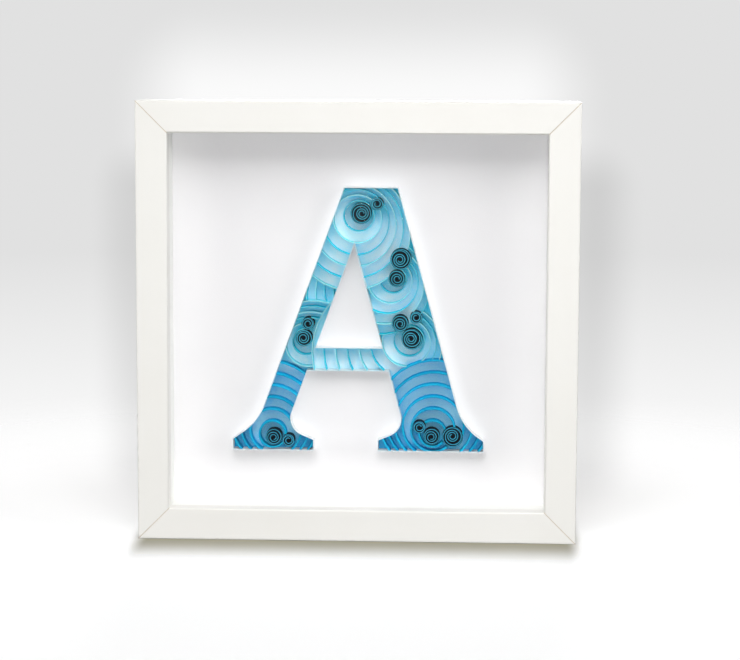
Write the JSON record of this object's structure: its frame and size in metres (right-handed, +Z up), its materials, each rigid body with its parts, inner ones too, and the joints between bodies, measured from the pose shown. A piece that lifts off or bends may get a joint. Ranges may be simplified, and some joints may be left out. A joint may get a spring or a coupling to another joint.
{
  "type": "framed quilled paper art",
  "caption": "Deep square box frame with a slab-serif letter of standing paper strips and rolled coils on a white card behind a clear pane.",
  "frame": {"origin": "middle of the frame's underside, half way from its front face to its back", "axes": "+X to the viewer's right, +Y from the front face to the back, +Z up"},
  "size_m": [0.25, 0.045, 0.25],
  "materials": {
    "rail_foil": "satin white foil wrapped round fibreboard",
    "spacer_foil": "matt white paper wrapped round fibreboard",
    "zinc_steel": "bright zinc plated sheet steel",
    "clear_acrylic": "clear polished sheet",
    "white_card": "smooth white mount board",
    "hardboard": "smooth brown hardboard",
    "outline_paper": "matt pale blue quilling paper",
    "teal_paper": "matt teal quilling paper",
    "aqua_paper": "matt pale aqua quilling paper",
    "blue_paper": "matt deep blue quilling paper",
    "sky_paper": "matt sky blue quilling paper",
    "petrol_paper": "matt dark petrol quilling paper"
  },
  "bodies": {
    "root": {"rail_bottom": "rail_foil", "rail_right": "rail_foil", "rail_top": "rail_foil", "rail_left": "rail_foil", "spacer_bottom": "spacer_foil", "spacer_right": "spacer_foil", "spacer_top": "spacer_foil", "spacer_left": "spacer_foil", "corner_nails": "zinc_steel", "retaining_points": "zinc_steel", "sawtooth_hanger": "zinc_steel", "glazing_pane": "clear_acrylic", "backing_card": "white_card", "back_panel": "hardboard", "outline_strip": "outline_paper", "counter_strip": "outline_paper", "teal_ripples": "teal_paper", "aqua_ripples": "aqua_paper", "blue_ripples": "blue_paper", "sky_ripples": "sky_paper", "coil_crown_large": "petrol_paper", "coil_crown_small": "petrol_paper", "coil_shoulder_large": "petrol_paper", "coil_shoulder_medium": "petrol_paper", "coil_right_leg_large": "petrol_paper", "coil_right_leg_medium": "petrol_paper", "coil_right_leg_small": "petrol_paper", "coil_left_leg_medium": "petrol_paper", "coil_left_leg_small": "petrol_paper", "coil_left_foot_medium": "petrol_paper", "coil_left_foot_small": "petrol_paper", "coil_right_foot_large": "petrol_paper", "coil_right_foot_medium": "petrol_paper", "coil_right_foot_small": "petrol_paper"}
  },
  "joints": []
}
